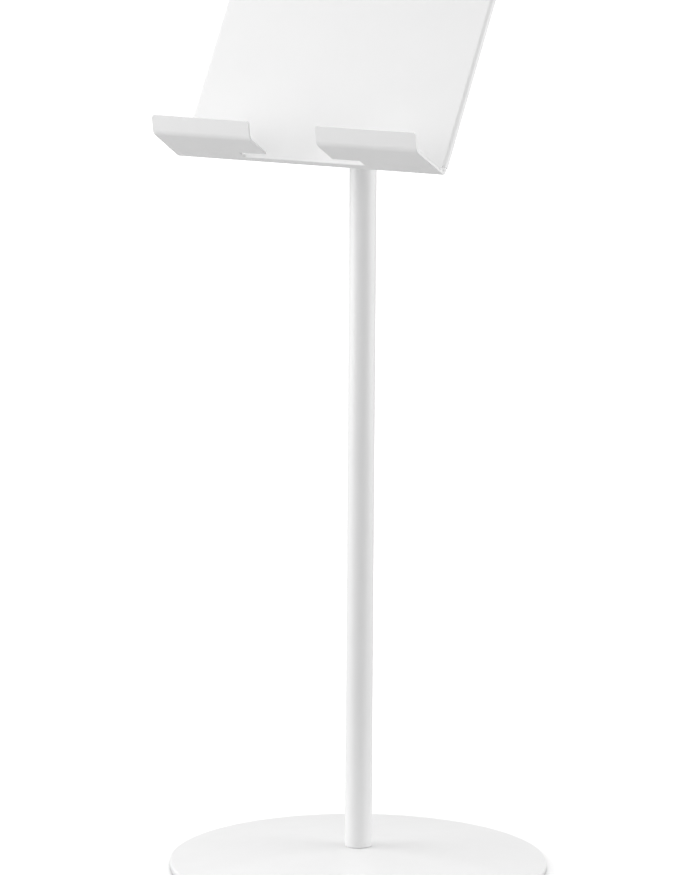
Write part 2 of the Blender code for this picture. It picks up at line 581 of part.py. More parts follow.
def build_desk(white, parent):
    """One sheet: plate, turned-back sides, ledge and two lips, with a T-shaped cut-out.

    Everything is laid out flat first, then folded from the outermost bend inwards."""
    half = DESK_THICKNESS / 2
    middle = -PIVOT_OFFSET - half
    corner_z = -PIVOT_ABOVE_LEDGE
    top = corner_z + PLATE_LENGTH

    # Fold between the plate and the ledge: where it starts, and what it adds to the flat length
    fold_setback = (FOLD_INSIDE_BEND + DESK_THICKNESS) * math.tan(FOLD_BEND / 2)
    fold_middle = FOLD_INSIDE_BEND + half
    fold_arc = fold_middle * FOLD_BEND
    fold_start = corner_z + fold_setback
    ledge_start = fold_start - fold_arc
    lip_setback = (LIP_INSIDE_BEND + DESK_THICKNESS) * math.tan(LIP_BEND / 2)
    lip_middle = LIP_INSIDE_BEND + half
    lip_arc = lip_middle * LIP_BEND

    def on_ledge(depth):
        """Height in the flat blank of a point at this depth in front of the outer corner."""
        return ledge_start - (depth - fold_setback)

    lip_start = on_ledge(LEDGE_DEPTH - lip_setback)
    bottom = lip_start - lip_arc - (LIP_HEIGHT - lip_setback)
    slit_top = on_ledge(SLIT_SETBACK)
    slit_low = on_ledge(SLIT_SETBACK + SLIT_WIDTH)

    side_outside = SIDE_INSIDE_BEND + DESK_THICKNESS
    side_middle = SIDE_INSIDE_BEND + half
    side_arc = side_middle * math.pi / 2
    side_bend = PLATE_WIDTH / 2 - side_outside
    side_edge = side_bend + side_arc + (SIDE_FLANGE - side_outside)
    notch_top = corner_z + SIDE_FLANGE_START
    notch_low = notch_top - SIDE_RELIEF
    ledge_half = LEDGE_WIDTH / 2
    lip_half = LIP_WIDTH / 2
    gap_half = GAP_WIDTH / 2
    slit_half = SLIT_LENGTH / 2

    right = [(gap_half, slit_low, CUT_CORNER), (gap_half, bottom, LIP_CORNER),
             (lip_half, bottom, LIP_CORNER), (lip_half, lip_start, 0), (ledge_half, ledge_start, 0),
             (ledge_half, notch_low, 0), (side_bend, notch_low, 0), (side_bend, notch_top, 0),
             (side_edge, notch_top, CUT_CORNER), (side_edge, top, PLATE_CORNER)]
    left = [(-x, z, radius) for x, z, radius in reversed(right)]
    slit = [(-slit_half, slit_low, CUT_CORNER), (-slit_half, slit_top, CUT_CORNER),
            (slit_half, slit_top, CUT_CORNER), (slit_half, slit_low, CUT_CORNER)]
    corners = right + left + slit

    down = Vector((0, 0, -1))
    forward = Vector((0, -1, 0))
    backward = Vector((0, 1, 0))
    fold_point = Vector((0, middle, fold_start))
    lip_point = Vector((0, middle, lip_start))
    creases = bend_lines(fold_point, down, fold_arc, 6) + bend_lines(lip_point, down, lip_arc, 6)
    above_notch = notch_top - SIDE_RELIEF / 2
    sides = [(Vector((sign * side_bend, middle, 0)), Vector((sign, 0, 0))) for sign in (1, -1)]
    for point, outward in sides:
        creases += bend_lines(point, outward, side_arc, 5, fold_start)
    bm = sheet_blank(corners, middle, DESK_THICKNESS, creases)
    for point, outward in sides:
        press_fold(bm, point, outward, backward, side_middle, math.pi / 2, above_notch)
    press_fold(bm, lip_point, down, forward, lip_middle, LIP_BEND)
    press_fold(bm, fold_point, down, forward, fold_middle, FOLD_BEND)
    add_piece("desk", bm, white, parent=parent)


def build_stand():
    clear_scene()
    white = make_material("white_powder_coat", (0.86, 0.86, 0.855), 0.42)
    zinc = make_material("zinc_plated_steel", (0.62, 0.62, 0.60), 0.32, 1.0)
    iron = make_material("cast_iron", (0.16, 0.16, 0.165), 0.7, 1.0)
    nylon = make_material("natural_nylon", (0.82, 0.80, 0.74), 0.45)
    rubber = make_material("black_rubber", (0.03, 0.03, 0.03), 0.8)
    build_base(white, iron, zinc, rubber)
    build_post(white, nylon, zinc)
    desk_axis = add_empty("tilt_axis", (0, 0, PIVOT_HEIGHT), (-DESK_LEAN, 0, 0))
    build_hinge(white, zinc, nylon, desk_axis)
    build_desk(white, desk_axis)


build_stand()
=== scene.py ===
import json
import math

import bmesh
import bpy
from mathutils import Matrix, Vector


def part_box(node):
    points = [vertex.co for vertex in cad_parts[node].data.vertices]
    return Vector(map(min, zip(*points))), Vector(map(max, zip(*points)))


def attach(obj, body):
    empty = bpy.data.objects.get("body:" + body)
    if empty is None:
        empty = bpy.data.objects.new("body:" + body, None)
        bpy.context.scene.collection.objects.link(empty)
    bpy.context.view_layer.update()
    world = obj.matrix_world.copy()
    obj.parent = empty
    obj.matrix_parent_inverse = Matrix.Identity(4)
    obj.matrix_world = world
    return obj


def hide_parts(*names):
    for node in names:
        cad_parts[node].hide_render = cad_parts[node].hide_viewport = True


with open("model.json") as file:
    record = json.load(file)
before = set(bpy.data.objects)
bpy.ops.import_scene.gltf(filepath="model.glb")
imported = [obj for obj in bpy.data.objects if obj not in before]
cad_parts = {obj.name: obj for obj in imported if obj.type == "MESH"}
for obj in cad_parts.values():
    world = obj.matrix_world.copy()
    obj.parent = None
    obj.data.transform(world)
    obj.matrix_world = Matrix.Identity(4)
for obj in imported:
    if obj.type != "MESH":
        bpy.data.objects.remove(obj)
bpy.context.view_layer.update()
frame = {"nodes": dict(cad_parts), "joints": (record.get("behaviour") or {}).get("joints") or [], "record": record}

bpy.ops.object.select_all(action="DESELECT")


# ------------------------------------------------------------------ base disc
# The base is a shallow dome pressed from 1.5 mm steel sheet, with its rim turned down to the floor.
# It is sprayed with white powder and baked, which leaves a fine orange peel and a satin gloss.

def take_whole_mesh():
    bpy.ops.mesh.select_all(action="SELECT")


def turn_outline(name, outline, sides=96, hollow=True):
    """Draw (radius, height) points out ring by ring, then close the shape on itself or cap it."""
    bpy.ops.object.select_all(action="DESELECT")
    radius, height = outline[0]
    bpy.ops.mesh.primitive_circle_add(vertices=sides, radius=radius, location=(0, 0, height))
    piece = bpy.context.object
    piece.name = name
    bpy.ops.object.transform_apply()
    bpy.ops.object.mode_set(mode="EDIT")
    bpy.ops.mesh.select_mode(type="VERT")
    take_whole_mesh()
    rings = outline[1:] + outline[:1] if hollow else outline[1:]
    for next_radius, next_height in rings:
        rise = (0, 0, next_height - height)
        bpy.ops.mesh.extrude_region_move(TRANSFORM_OT_translate={"value": rise})
        growth = next_radius / radius
        bpy.ops.transform.resize(value=(growth, growth, 1), center_override=(0, 0, next_height))
        radius = next_radius
        height = next_height
    take_whole_mesh()
    bpy.ops.mesh.remove_doubles(threshold=1e-6)
    if not hollow:
        take_whole_mesh()
        bpy.ops.mesh.fill_holes(sides=0)
    take_whole_mesh()
    bpy.ops.mesh.normals_make_consistent(inside=False)
    bpy.ops.object.mode_set(mode="OBJECT")
    return piece


def select_only(piece):
    bpy.ops.object.select_all(action="DESELECT")
    piece.select_set(True)
    bpy.context.view_layer.objects.active = piece


def finish_modifier(piece, kind, **settings):
    """Add one modifier and apply it at once."""
    modifier = piece.modifiers.new(kind.lower(), kind)
    for setting, value in settings.items():
        setattr(modifier, setting, value)
    select_only(piece)
    bpy.ops.object.modifier_apply(modifier=modifier.name)


def smooth(piece, corner=math.radians(32)):
    select_only(piece)
    bpy.ops.object.shade_smooth_by_angle(angle=corner)


def round_edges(piece, width, segments=2, corner=math.radians(40)):
    """Break the sharp edges, then let the flat faces keep their flat shading."""
    finish_modifier(piece, "BEVEL", width=width, segments=segments, limit_method="ANGLE",
                    angle_limit=corner, use_clamp_overlap=True)
    smooth(piece, math.radians(60))
    finish_modifier(piece, "WEIGHTED_NORMAL", keep_sharp=True, weight=60)


def place_piece(piece, place):
    """Move a finished piece to its place, and keep that place in its mesh."""
    piece.data.transform(place)
    piece.data.update()
    return piece


def arc(centre, radius, first, last, steps):
    """Points of a round corner in an outline, from one angle to another."""
    angles = [first + (last - first) * step / steps for step in range(steps + 1)]
    return [(centre[0] + radius * math.cos(angle), centre[1] + radius * math.sin(angle))
            for angle in angles]


cover_low, cover_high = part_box("base_cover")
base_radius = cover_high.x
land_top = cover_high.z
cover_wall = 0.0015
rim_top = cover_low.z + 0.006
dome_rise = 0.015
dome_steps = 30
rim_corner = 0.0022
rim_meets_dome = math.radians(78)
rim_flat = 0.0012
land_radius = 0.018
spigot_hole = 0.0093


def dome(radius):
    return rim_top + dome_rise * (1 - (radius / base_radius) ** 2)


corner_middle = base_radius - rim_corner
corner_height = dome(corner_middle) - rim_corner
dome_line = [(spigot_hole, land_top), (land_radius, land_top)]
for step in range(1, dome_steps + 1):
    dome_radius = land_radius + (corner_middle - land_radius) * step / dome_steps
    dome_line.append((dome_radius, dome(dome_radius)))
rim_line = arc((corner_middle, corner_height), rim_corner, rim_meets_dome, 0, 8)
hem_radius = cover_wall / 2
hem_line = arc((base_radius - hem_radius, cover_low.z + hem_radius), hem_radius, 0, -math.pi, 8)
inner_rim = [(base_radius - cover_wall, corner_height - 0.0004),
             (base_radius - cover_wall - rim_flat, corner_height + 0.0003)]
inner_radii = (0.188, 0.15, 0.11, 0.07, 0.035)
inner_dome = [(radius, dome(radius) - cover_wall) for radius in inner_radii]
base_outline = (dome_line + rim_line + hem_line + inner_rim + inner_dome
                + [(land_radius, land_top - cover_wall), (spigot_hole, land_top - cover_wall)])
base_disc = turn_outline("base_disc", base_outline, sides=224)
smooth(base_disc)


def add_node(tree, kind, **settings):
    """Add a shader node, set its properties, and fill the sockets named in its inputs setting."""
    node = tree.nodes.new("ShaderNode" + kind)
    values = settings.pop("inputs", {})
    for setting, value in settings.items():
        setattr(node, setting, value)
    for socket, value in values.items():
        node.inputs[socket].default_value = value
    return node


def add_noise(tree, place, detail, roughness, scale=None):
    """Noise laid on the piece's own coordinates; a group sets its scale by a socket instead."""
    noise = add_node(tree, "TexNoise", inputs={"Detail": detail, "Roughness": roughness})
    if scale is not None:
        noise.inputs["Scale"].default_value = scale
    tree.links.new(place.outputs["Object"], noise.inputs["Vector"])
    return noise


def new_group(name, inputs, outputs):
    """Start a shader node group with named sockets; inputs are (name, type, value)."""
    group = bpy.data.node_groups.new(name, "ShaderNodeTree")
    for label, kind, value in inputs:
        socket = group.interface.new_socket(label, in_out="INPUT", socket_type=kind)
        if value is not None:
            socket.default_value = value
    for label, kind in outputs:
        group.interface.new_socket(label, in_out="OUTPUT", socket_type=kind)
    return group, group.nodes.new("NodeGroupInput"), group.nodes.new("NodeGroupOutput")


# Powder that has flowed out and set: low rounded hills about a millimetre across
peel, peel_in, peel_out = new_group(
    "powder_peel", [("Hills per metre", "NodeSocketFloat", 900.0)],
    [("Height", "NodeSocketFloat"), ("Mottle", "NodeSocketFloat")])
peel_place = add_node(peel, "TexCoord")
hills = add_noise(peel, peel_place, 2.0, 0.45)
specks = add_node(peel, "TexVoronoi", feature="SMOOTH_F1", inputs={"Smoothness": 1.0})
speck_scale = add_node(peel, "Math", operation="MULTIPLY", inputs={1: 1.7})
sum_height = add_node(peel, "Math", operation="MULTIPLY_ADD", inputs={1: 0.35})
cloud = add_noise(peel, peel_place, 4.0, 0.6, 14.0)
peel.links.new(peel_place.outputs["Object"], specks.inputs["Vector"])
peel.links.new(peel_in.outputs["Hills per metre"], hills.inputs["Scale"])
peel.links.new(peel_in.outputs["Hills per metre"], speck_scale.inputs[0])
peel.links.new(speck_scale.outputs[0], specks.inputs["Scale"])
peel.links.new(specks.outputs["Distance"], sum_height.inputs[0])
peel.links.new(hills.outputs["Fac"], sum_height.inputs[2])
peel.links.new(sum_height.outputs[0], peel_out.inputs["Height"])
peel.links.new(cloud.outputs["Fac"], peel_out.inputs["Mottle"])

# Corners and cut edges, where a coating draws thin and hands rub, and where the white coat also gets painted
# shade: found by rounding the normal
edges, edges_in, edges_out = new_group(
    "worn_edges", [("Width", "NodeSocketFloat", 0.0008), ("Patches per metre", "NodeSocketFloat", 260.0)],
    [("Edge", "NodeSocketFloat")])
rounded = add_node(edges, "Bevel", samples=4)
surface = add_node(edges, "NewGeometry")
agree = add_node(edges, "VectorMath", operation="DOT_PRODUCT")
turned = add_node(edges, "MapRange", inputs={"From Min": 0.995, "From Max": 0.82})
edge_place = add_node(edges, "TexCoord")
patches = add_noise(edges, edge_place, 5.0, 0.7)
patch_depth = add_node(edges, "MapRange", inputs={"From Min": 0.35, "From Max": 0.7})
edge_mask = add_node(edges, "Math", operation="MULTIPLY")
edges.links.new(edges_in.outputs["Width"], rounded.inputs["Radius"])
edges.links.new(rounded.outputs["Normal"], agree.inputs[0])
edges.links.new(surface.outputs["Normal"], agree.inputs[1])
edges.links.new(agree.outputs["Value"], turned.inputs["Value"])
edges.links.new(edges_in.outputs["Patches per metre"], patches.inputs["Scale"])
edges.links.new(patches.outputs["Fac"], patch_depth.inputs["Value"])
edges.links.new(turned.outputs["Result"], edge_mask.inputs[0])
edges.links.new(patch_depth.outputs["Result"], edge_mask.inputs[1])
edges.links.new(edge_mask.outputs[0], edges_out.inputs["Edge"])

# Dust lies on what faces up, thickest in faint drifts
dust, dust_in, dust_out = new_group("settled_dust", [("Drifts per metre", "NodeSocketFloat", 30.0)],
                                    [("Dust", "NodeSocketFloat")])
facing = add_node(dust, "NewGeometry")
facing_parts = add_node(dust, "SeparateXYZ")
upward = add_node(dust, "MapRange", inputs={"From Min": 0.55, "From Max": 1.0})
dust_place = add_node(dust, "TexCoord")
drifts = add_noise(dust, dust_place, 8.0, 0.72)
drift_depth = add_node(dust, "MapRange", inputs={"From Min": 0.4, "From Max": 0.75})
dust_mask = add_node(dust, "Math", operation="MULTIPLY")
dust.links.new(facing.outputs["Normal"], facing_parts.inputs[0])
dust.links.new(facing_parts.outputs["Z"], upward.inputs["Value"])
dust.links.new(dust_in.outputs["Drifts per metre"], drifts.inputs["Scale"])
dust.links.new(drifts.outputs["Fac"], drift_depth.inputs["Value"])
dust.links.new(upward.outputs["Result"], dust_mask.inputs[0])
dust.links.new(drift_depth.outputs["Result"], dust_mask.inputs[1])
dust.links.new(dust_mask.outputs[0], dust_out.inputs["Dust"])


def new_material(name):
    material = bpy.data.materials.new(name)
    material.use_nodes = True
    return material, material.node_tree, material.node_tree.nodes["Principled BSDF"]


def use_group(tree, group, **values):
    node = add_node(tree, "Group", node_tree=group)
    for label, value in values.items():
        node.inputs[label.replace("_", " ")].default_value = value
    return node


def blend_colours(tree, mask, first, second, amount=1.0):
    """Colour that goes from first to second with the mask; each may be a colour or a socket."""
    mix = add_node(tree, "Mix", data_type="RGBA", clamp_factor=True)
    strength = add_node(tree, "Math", operation="MULTIPLY", inputs={1: amount})
    tree.links.new(mask, strength.inputs[0])
    tree.links.new(strength.outputs[0], mix.inputs[0])
    for socket, colour in ((mix.inputs[6], first), (mix.inputs[7], second)):
        if isinstance(colour, tuple):
            socket.default_value = colour
        else:
            tree.links.new(colour, socket)
    return mix.outputs[2]


def spread(tree, value, low, high, low_in=0.3, high_in=0.7):
    """Stretch a varying value to the range from low to high."""
    node = add_node(tree, "MapRange", inputs={"From Min": low_in, "From Max": high_in,
                                              "To Min": low, "To Max": high})
    tree.links.new(value, node.inputs["Value"])
    return node.outputs["Result"]


def raise_bumps(tree, shader, height, depth, strength=1.0):
    bump = add_node(tree, "Bump", inputs={"Strength": strength, "Distance": depth})
    tree.links.new(height, bump.inputs["Height"])
    tree.links.new(bump.outputs["Normal"], shader.inputs["Normal"])


powder_coat, tree, shader = new_material("white_powder_coat")
coat_white = (0.800, 0.800, 0.800, 1)
coat_cloudy = (0.785, 0.785, 0.785, 1)
thin_coat_and_edge_shade = (0.70, 0.70, 0.695, 1)
dust_grey = (0.66, 0.65, 0.63, 1)
peel_node = use_group(tree, peel, Hills_per_metre=900.0)
edge_node = use_group(tree, edges, Width=0.0007, Patches_per_metre=260.0)
dust_node = use_group(tree, dust, Drifts_per_metre=30.0)
coat = blend_colours(tree, spread(tree, peel_node.outputs["Mottle"], 0, 1), coat_white, coat_cloudy)
# Edges of the white coat are painted darker grey: partly a thinner, rubbed coat, partly painted shade along the
# edges
coat = blend_colours(tree, edge_node.outputs["Edge"], coat, thin_coat_and_edge_shade, 0.35)
coat = blend_colours(tree, dust_node.outputs["Dust"], coat, dust_grey, 0.05)
tree.links.new(coat, shader.inputs["Base Color"])
tree.links.new(spread(tree, peel_node.outputs["Mottle"], 0.36, 0.46), shader.inputs["Roughness"])
peel_depth = 0.00004
raise_bumps(tree, shader, peel_node.outputs["Height"], peel_depth, 0.6)


def dress(piece, material, body, slot, *nodes):
    """Give a piece its finish and body, and hide the CAD nodes that it stands for."""
    piece.data.materials.clear()
    piece.data.materials.append(material)
    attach(piece, body)
    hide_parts(*nodes)


dress(base_disc, powder_coat, "stand", "white_powder_coat", "base_cover")


# ------------------------------------------------------------------ ballast
# A grey iron casting fills the dome and holds the stand upright. It is left as it comes from the
# sand, rough and dark, with a little rust, and only its hub touches the cover.

cast_iron, tree, shader = new_material("sand_cast_iron")
sand_place = add_node(tree, "TexCoord")
sand = add_noise(tree, sand_place, 6.0, 0.7, 620.0)
rust = add_noise(tree, sand_place, 7.0, 0.68, 38.0)
iron_dark = (0.055, 0.055, 0.058, 1)
iron_light = (0.16, 0.155, 0.15, 1)
iron_rust = (0.17, 0.075, 0.035, 1)
iron = blend_colours(tree, spread(tree, sand.outputs["Fac"], 0, 1), iron_dark, iron_light)
iron = blend_colours(tree, spread(tree, rust.outputs["Fac"], 0, 1, 0.52, 0.74), iron, iron_rust, 0.6)
tree.links.new(iron, shader.inputs["Base Color"])
tree.links.new(spread(tree, sand.outputs["Fac"], 0.58, 0.82), shader.inputs["Roughness"])
tree.links.new(spread(tree, rust.outputs["Fac"], 0.9, 0.2, 0.52, 0.74), shader.inputs["Metallic"])
sand_depth = 0.0004
raise_bumps(tree, shader, sand.outputs["Fac"], sand_depth, 0.8)


def finish_node(name, material):
    """Keep a CAD node as it is, with a better finish."""
    node = frame["nodes"][name]
    node.data.materials.clear()
    node.data.materials.append(material)


finish_node("ballast_weight", cast_iron)


# ------------------------------------------------------------------ bottom plate and its screws
# A zinc-plated steel disc closes the base from below. Small cross-head screws hold it and the
# casting together; the plate keeps clear of the floor.

grain, grain_in, grain_out = new_group(
    "plated_grain", [("Grains per metre", "NodeSocketFloat", 1500.0)],
    [("Height", "NodeSocketFloat"), ("Cloud", "NodeSocketFloat"), ("Scratch", "NodeSocketFloat")])
grain_place = add_node(grain, "TexCoord")
grain_noise = add_noise(grain, grain_place, 5.0, 0.65)
grain_cloud = add_noise(grain, grain_place, 3.0, 0.55, 110.0)
stretch = add_node(grain, "Mapping", inputs={"Rotation": (0.3, 0.7, 0.4), "Scale": (1.0, 14.0, 14.0)})
scratch_noise = add_node(grain, "TexNoise", inputs={"Scale": 160.0, "Detail": 6.0, "Roughness": 0.8})
grain.links.new(grain_place.outputs["Object"], stretch.inputs["Vector"])
grain.links.new(stretch.outputs["Vector"], scratch_noise.inputs["Vector"])
grain.links.new(grain_in.outputs["Grains per metre"], grain_noise.inputs["Scale"])
grain.links.new(grain_noise.outputs["Fac"], grain_out.inputs["Height"])
grain.links.new(grain_cloud.outputs["Fac"], grain_out.inputs["Cloud"])
grain.links.new(scratch_noise.outputs["Fac"], grain_out.inputs["Scratch"])


grain_size = 1500.0
grain_depth = 0.00002
rubbed_zinc = (0.80, 0.79, 0.77, 1)


def zinc_finish(name, clear, tinted, rough_low, rough_high):
    """Bright zinc plate: clouded passivation, fine grain, corners rubbed bright."""
    material, tree, shader = new_material(name)
    grain_node = use_group(tree, grain, Grains_per_metre=grain_size)
    edge_node = use_group(tree, edges, Width=0.0004, Patches_per_metre=900.0)
    metal = blend_colours(tree, spread(tree, grain_node.outputs["Cloud"], 0, 1), clear, tinted)
    metal = blend_colours(tree, edge_node.outputs["Edge"], metal, rubbed_zinc, 0.6)
    tree.links.new(metal, shader.inputs["Base Color"])
    tree.links.new(spread(tree, grain_node.outputs["Scratch"], rough_low, rough_high),
                   shader.inputs["Roughness"])
    shader.inputs["Metallic"].default_value = 1.0
    raise_bumps(tree, shader, grain_node.outputs["Height"], grain_depth, 0.5)
    return material


sheet_clear = (0.60, 0.60, 0.585, 1)
sheet_tinted = (0.50, 0.515, 0.53, 1)
bright_clear = (0.66, 0.655, 0.63, 1)
bright_tinted = (0.54, 0.555, 0.58, 1)
zinc_sheet = zinc_finish("zinc_plated_sheet", sheet_clear, sheet_tinted, 0.30, 0.48)
zinc_bright = zinc_finish("zinc_plated_fastener", bright_clear, bright_tinted, 0.20, 0.36)
finish_node("bottom_plate", zinc_sheet)


def middle_of(name):
    low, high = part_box(name)
    return (low + high) / 2


def throw_away(piece):
    bpy.data.objects.remove(piece, do_unlink=True)


def cut_away(piece, cutter):
    """Take the cutter's shape out of the piece, and throw the cutter away."""
    finish_modifier(piece, "BOOLEAN", operation="DIFFERENCE", solver="EXACT", object=cutter)
    throw_away(cutter)


def copy_to(piece, name, place):
    """A second piece like the first, with a mesh of its own, moved by a matrix."""
    twin = piece.copy()
    twin.data = piece.data.copy()
    twin.name = name
    bpy.context.scene.collection.objects.link(twin)
    return place_piece(twin, place)


screw_low, screw_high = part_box("bottom_plate_screw_1")
screw_length = screw_high.z - screw_low.z
head_height = 0.0016
head_radius = 0.004
thread_radius = 0.002
screw_point = 0.0006
cross_length = 0.0042
cross_width = 0.0009
cross_depth = 0.0022
first_turn = 0.4
screw_round = 0.00008
screw_line = [(0.0024, 0), (0.0030, 0.00012), (0.0036, 0.00045), (head_radius, 0.0010),
              (head_radius, head_height), (thread_radius, head_height),
              (thread_radius, screw_length - screw_point), (0.0013, screw_length)]
plate_screw = turn_outline("plate_screw", screw_line, sides=48, hollow=False)
for turn in (0, math.pi / 2):
    bpy.ops.object.select_all(action="DESELECT")
    bpy.ops.mesh.primitive_cube_add(size=1, location=(0, 0, 0), rotation=(0, 0, turn))
    bpy.context.object.scale = (cross_length, cross_width, cross_depth)
    cut_away(plate_screw, bpy.context.object)
round_edges(plate_screw, screw_round, 1)
for index in range(4):
    node = f"bottom_plate_screw_{index + 1}"
    place = middle_of(node)
    place.z = screw_low.z
    screw = copy_to(plate_screw, f"plate_screw_{index + 1}",
                    Matrix.Translation(place) @ Matrix.Rotation(first_turn + index, 4, "Z"))
    dress(screw, zinc_bright, "stand", "zinc_plated_steel", node)
throw_away(plate_screw)


# ------------------------------------------------------------------ floor pads
# Round pads of black rubber stick to the plate and hold its rim just off the floor.
# They are die-cut from moulded sheet with a rounded lower edge and a shallow well.

rubber, tree, shader = new_material("moulded_black_rubber")
rubber_place = add_node(tree, "TexCoord")
rubber_grain = add_noise(tree, rubber_place, 3.0, 0.6, 1800.0)
rubber_cloud = add_noise(tree, rubber_place, 5.0, 0.6, 90.0)
rubber_black = (0.018, 0.018, 0.019, 1)
rubber_grey = (0.040, 0.039, 0.037, 1)
black = blend_colours(tree, spread(tree, rubber_cloud.outputs["Fac"], 0, 1), rubber_black, rubber_grey)
tree.links.new(black, shader.inputs["Base Color"])
tree.links.new(spread(tree, rubber_grain.outputs["Fac"], 0.68, 0.88), shader.inputs["Roughness"])
rubber_depth = 0.00008
raise_bumps(tree, shader, rubber_grain.outputs["Fac"], rubber_depth, 0.7)

pad_low, pad_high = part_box("floor_pad_1")
pad_radius = (pad_high.x - pad_low.x) / 2
pad_height = pad_high.z
pad_edge = 0.0007
well_depth = 0.0004
pad_line = ([(pad_radius - 0.004, well_depth), (pad_radius - 0.0034, 0)]
            + arc((pad_radius - pad_edge, pad_edge), pad_edge, math.radians(-90), 0, 5)
            + [(pad_radius, pad_height)])
pad_shape = turn_outline("pad_shape", pad_line, sides=64, hollow=False)
smooth(pad_shape)
for index in range(4):
    node = f"floor_pad_{index + 1}"
    place = middle_of(node)
    place.z = 0
    pad = copy_to(pad_shape, f"rubber_pad_{index + 1}", Matrix.Translation(place))
    dress(pad, rubber, "stand", "black_rubber", node)
throw_away(pad_shape)


# ------------------------------------------------------------------ bolt under the post
# A bolt comes up from below through a spring washer and a flat washer into a steel plug that is
# welded into the post's foot. They are out of sight inside the base.

for name in ("post_washer", "post_lock_washer", "post_bolt", "post_foot_plug"):
    finish_node(name, zinc_bright)


# ------------------------------------------------------------------ post
# The post is 28 mm round steel tube with a 2 mm wall, cut square at both ends, deburred and coated
# with the base. A small hole in its back lets the swivel's grub screw in.

def add_rod(name, radius, length, sides, middle, turn=(0, 0, 0)):
    """Plain bar of round or many-sided section, to cut with or to work further."""
    bpy.ops.object.select_all(action="DESELECT")
    bpy.ops.mesh.primitive_cylinder_add(vertices=sides, radius=radius, depth=length,
                                        location=middle, rotation=turn)
    rod = bpy.context.object
    rod.name = name
    return rod


tube_low, tube_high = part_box("post_tube")
post_radius = tube_high.x
tube_wall = 0.002
bore_radius = post_radius - tube_wall
burr = 0.0004
post_line = (arc((post_radius - burr, tube_low.z + burr), burr, math.radians(-90), 0, 4)
             + arc((post_radius - burr, tube_high.z - burr), burr, 0, math.radians(90), 4)
             + [(bore_radius + burr, tube_high.z), (bore_radius, tube_high.z - burr),
                (bore_radius, tube_low.z + burr), (bore_radius + burr, tube_low.z)])
post = turn_outline("post", post_line, sides=128)
grub_middle = middle_of("swivel_grub_screw")
grub_hole_radius = 0.0028
grub_hole_depth = 0.012


def drill_for_grub_screw(piece):
    cut_away(piece, add_rod("grub_drill", grub_hole_radius, grub_hole_depth, 48,
                            (0, post_radius, grub_middle.z), (math.radians(90), 0, 0)))


drill_for_grub_screw(post)
smooth(post)
dress(post, powder_coat, "stand", "white_powder_coat", "post_tube")


# ------------------------------------------------------------------ swivel bushes and grub screw
# Two bushes turned from natural nylon line the top of the post for the spindle; the upper one has
# a flange that shows. A hexagon-socket grub screw keeps the spindle from lifting out.

nylon, tree, shader = new_material("turned_natural_nylon")
nylon_place = add_node(tree, "TexCoord")
tool_marks = add_node(tree, "TexWave", wave_type="BANDS", bands_direction="Z",
                      inputs={"Scale": 900.0, "Distortion": 1.5, "Detail": 2.0})
nylon_cloud = add_noise(tree, nylon_place, 4.0, 0.6, 150.0)
tree.links.new(nylon_place.outputs["Object"], tool_marks.inputs["Vector"])
nylon_pale = (0.80, 0.78, 0.71, 1)
nylon_deep = (0.72, 0.69, 0.60, 1)
ivory = blend_colours(tree, spread(tree, nylon_cloud.outputs["Fac"], 0, 1), nylon_pale, nylon_deep)
tree.links.new(ivory, shader.inputs["Base Color"])
tree.links.new(spread(tree, nylon_cloud.outputs["Fac"], 0.38, 0.52), shader.inputs["Roughness"])
tool_mark_depth = 0.00003
raise_bumps(tree, shader, tool_marks.outputs["Fac"], tool_mark_depth, 0.5)

bush_low, bush_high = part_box("upper_bush")
running_radius = 0.0083
bush_play = 0.0003
sleeve_radius = bore_radius - bush_play
flange_edge = 0.0005
flange_low = tube_high.z + bush_play
flange_inset = post_radius - flange_edge
bush_line = ([(running_radius, bush_low.z), (sleeve_radius, bush_low.z), (sleeve_radius, flange_low),
              (flange_inset, flange_low)]
             + arc((flange_inset, flange_low + flange_edge), flange_edge, math.radians(-90), 0, 4)
             + arc((flange_inset, bush_high.z - flange_edge), flange_edge, 0, math.radians(90), 4)
             + [(running_radius + flange_edge, bush_high.z), (running_radius, bush_high.z - flange_edge)])
upper_bush = turn_outline("flanged_bush", bush_line, sides=112)
drill_for_grub_screw(upper_bush)
smooth(upper_bush)
dress(upper_bush, nylon, "stand", "natural_nylon", "upper_bush")
finish_node("lower_bush", nylon)

grub_low, grub_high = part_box("swivel_grub_screw")
grub_length = grub_high.y - grub_low.y
grub_radius = 0.0025
socket_radius = 0.00145
socket_cut = 0.005
grub_line = [(0.0013, 0), (0.0020, 0.0005), (grub_radius, 0.0010), (grub_radius, grub_length - 0.0003),
             (grub_radius - 0.0003, grub_length)]
grub_screw = turn_outline("socket_grub_screw", grub_line, sides=48, hollow=False)
cut_away(grub_screw, add_rod("hex_punch", socket_radius, socket_cut, 6, (0, 0, grub_length)))
smooth(grub_screw)
place_piece(grub_screw, Matrix.Translation((0, grub_low.y, grub_middle.z))
            @ Matrix.Rotation(math.radians(-90), 4, "X"))
dress(grub_screw, zinc_bright, "stand", "zinc_plated_steel", "swivel_grub_screw")


# ------------------------------------------------------------------ swivel head
# One bar of steel is turned to a spindle and a collar, milled above to a flat tongue with a round
# top, and zinc plated. The spindle turns in the bushes and the desk tilts on the tongue.

